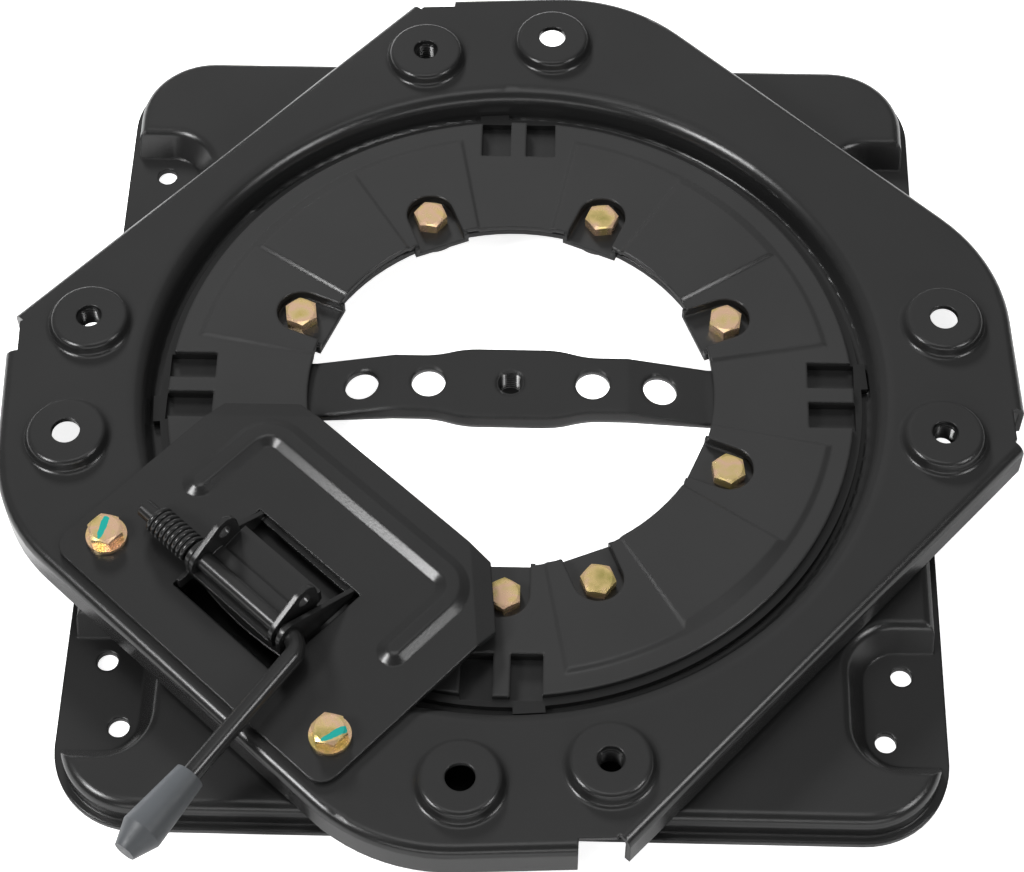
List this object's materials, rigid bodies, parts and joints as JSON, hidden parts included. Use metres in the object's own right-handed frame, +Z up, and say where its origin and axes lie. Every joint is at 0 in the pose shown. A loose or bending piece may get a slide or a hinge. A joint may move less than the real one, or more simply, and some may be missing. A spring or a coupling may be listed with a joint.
{
  "type": "swivel plate",
  "caption": "Swivel plate for a camper seat: a fixed base with a round opening and cross strap, a turning top plate with raised bosses, and a sprung lever latch with a grip.",
  "frame": {"origin": "on the swivel axis, in the plane of the underside of the four mounting pads", "axes": "+Z up along the swivel axis, +Y along the long sides of the base plate away from the latch side, +X to the right along the cross strap"},
  "size_m": [0.435, 0.4447, 0.0601],
  "materials": {
    "black_coat": "semi-gloss black coating",
    "yellow_zinc": "yellow passivated zinc",
    "slide_plastic": "smooth",
    "spring_steel": "black, semi-gloss",
    "grip_plastic": "satin grey"
  },
  "bodies": {
    "base": {"base_plate": "black_coat", "cross_strap": "black_coat", "strap_nut": "black_coat", "lower_slide_ring": "slide_plastic", "guide_ring": "black_coat", "retaining_ring": "black_coat", "ring_bolts": "yellow_zinc", "ring_nuts": "yellow_zinc"},
    "turntable": {"top_plate": "black_coat", "weld_nuts": "black_coat", "latch_cover": "black_coat", "latch_bolts": "yellow_zinc", "latch_washers": "yellow_zinc", "latch_nuts": "yellow_zinc", "pivot_bracket": "black_coat", "torsion_spring": "spring_steel"},
    "lever": {"lever_rod": "black_coat", "latch_pawl": "black_coat", "lever_grip": "grip_plastic"}
  },
  "joints": [
    {"name": "swivel", "type": "hinge", "parent": "base", "child": "turntable", "pos_m": [0, 0, 0.02], "axis": [0, 0, 1], "continuous": true},
    {"name": "lever_tilt", "type": "hinge", "parent": "turntable", "child": "lever", "pos_m": [-0.10281, -0.11358, 0.0465], "axis": [0.7414, -0.6711, 0], "range_deg": [0, 7], "stiffness_Nm_per_rad": 0.5, "springref_deg": -34.38}
  ]
}
